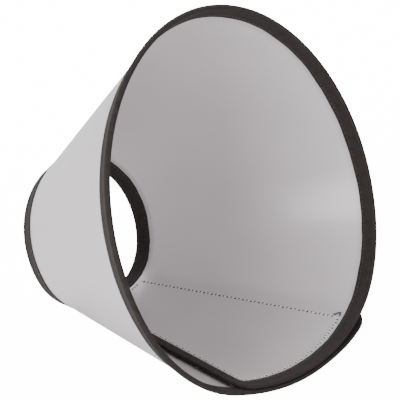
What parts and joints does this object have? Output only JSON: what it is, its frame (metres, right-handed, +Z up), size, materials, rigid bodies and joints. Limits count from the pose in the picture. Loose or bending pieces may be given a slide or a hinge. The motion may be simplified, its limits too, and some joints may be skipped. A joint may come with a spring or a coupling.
{
  "type": "elizabethan collar",
  "caption": "Flared pet recovery collar: a translucent plastic sheet rolled into a truncated cone, with a lapped hook-and-loop closure and dark fabric binding on every edge.",
  "frame": {"origin": "middle of the bounding box at floor level, with the collar lying on its lap as it rests on a table", "axes": "+Z up; -Y the way the wide rim faces; +Y the way the neck opening faces; +X across, towards the side where the inner flap meets the wall"},
  "size_m": [0.2316, 0.1956, 0.1997],
  "materials": {
    "sheet_plastic": "frosted translucent sheet, satin, slightly uneven",
    "binding_tape": "woven charcoal bias tape folded over the edge, matt",
    "loop_cloth": "soft brushed loop pile",
    "hook_tape": "woven tape with moulded hooks",
    "pale_thread": "twisted sewing thread",
    "dark_thread": "twisted sewing thread"
  },
  "bodies": {
    "outer_flap": {"sheet_outer_flap": "sheet_plastic", "rim_binding_outer_flap": "binding_tape", "neck_binding_outer_flap": "binding_tape", "edge_binding_outer_flap": "binding_tape", "hook_strip": "hook_tape", "hook_strip_stitching": "pale_thread"},
    "left_corner": {"sheet_left_corner": "sheet_plastic", "rim_binding_left_corner": "binding_tape", "neck_binding_left_corner": "binding_tape"},
    "left_shoulder": {"sheet_left_shoulder": "sheet_plastic", "rim_binding_left_shoulder": "binding_tape", "neck_binding_left_shoulder": "binding_tape"},
    "left_crown": {"sheet_left_crown": "sheet_plastic", "rim_binding_left_crown": "binding_tape", "neck_binding_left_crown": "binding_tape"},
    "right_crown": {"sheet_right_crown": "sheet_plastic", "rim_binding_right_crown": "binding_tape", "neck_binding_right_crown": "binding_tape"},
    "right_shoulder": {"sheet_right_shoulder": "sheet_plastic", "rim_binding_right_shoulder": "binding_tape", "neck_binding_right_shoulder": "binding_tape"},
    "right_corner": {"sheet_right_corner": "sheet_plastic", "rim_binding_right_corner": "binding_tape", "neck_binding_right_corner": "binding_tape"},
    "inner_flap": {"sheet_inner_flap": "sheet_plastic", "rim_binding_inner_flap": "binding_tape", "neck_binding_inner_flap": "binding_tape", "edge_binding_inner_flap": "binding_tape", "loop_panel": "loop_cloth", "loop_panel_stitching": "pale_thread", "thread_knot": "dark_thread"}
  },
  "joints": [
    {"name": "flap_peel", "type": "hinge", "parent": "outer_flap", "child": "left_corner", "pos_m": [-0.02506, 0.06386, 0.00393], "axis": [-0.2221, -0.9744, 0.0353], "range_deg": [0, 43]},
    {"name": "unwrap", "type": "hinge", "parent": "left_corner", "child": "left_shoulder", "pos_m": [-0.04614, 0.07343, 0.02395], "axis": [-0.3994, -0.8939, 0.2036], "range_deg": [0, 47]},
    {"name": "unwrap_left_shoulder", "type": "hinge", "parent": "left_shoulder", "child": "left_crown", "pos_m": [-0.03953, 0.08989, 0.06595], "axis": [-0.3433, -0.7545, 0.5593], "range_deg": [0, 47]},
    {"name": "unwrap_crown", "type": "hinge", "parent": "left_crown", "child": "right_crown", "pos_m": [0.00019, 0.09734, 0.08497], "axis": [0, -0.6901, 0.7237], "range_deg": [0, 47]},
    {"name": "unwrap_right_crown", "type": "hinge", "parent": "right_crown", "child": "right_shoulder", "pos_m": [0.0399, 0.08989, 0.06595], "axis": [0.3433, -0.7545, 0.5593], "range_deg": [0, 28.2]},
    {"name": "unwrap_right_shoulder", "type": "hinge", "parent": "right_shoulder", "child": "right_corner", "pos_m": [0.04625, 0.0741, 0.02567], "axis": [0.3994, -0.8939, 0.2036], "range_deg": [0, 28.2]},
    {"name": "unwrap_right_corner", "type": "hinge", "parent": "right_corner", "child": "inner_flap", "pos_m": [0.02603, 0.06492, 0.00645], "axis": [0.2221, -0.9744, 0.0353], "range_deg": [0, 28.2]}
  ],
  "couplings": [
    {"joint": "unwrap_left_shoulder", "follows": "unwrap", "ratio": 1},
    {"joint": "unwrap_crown", "follows": "unwrap", "ratio": 1},
    {"joint": "unwrap_right_crown", "follows": "unwrap", "ratio": 0.6},
    {"joint": "unwrap_right_shoulder", "follows": "unwrap", "ratio": 0.6},
    {"joint": "unwrap_right_corner", "follows": "unwrap", "ratio": 0.6}
  ]
}
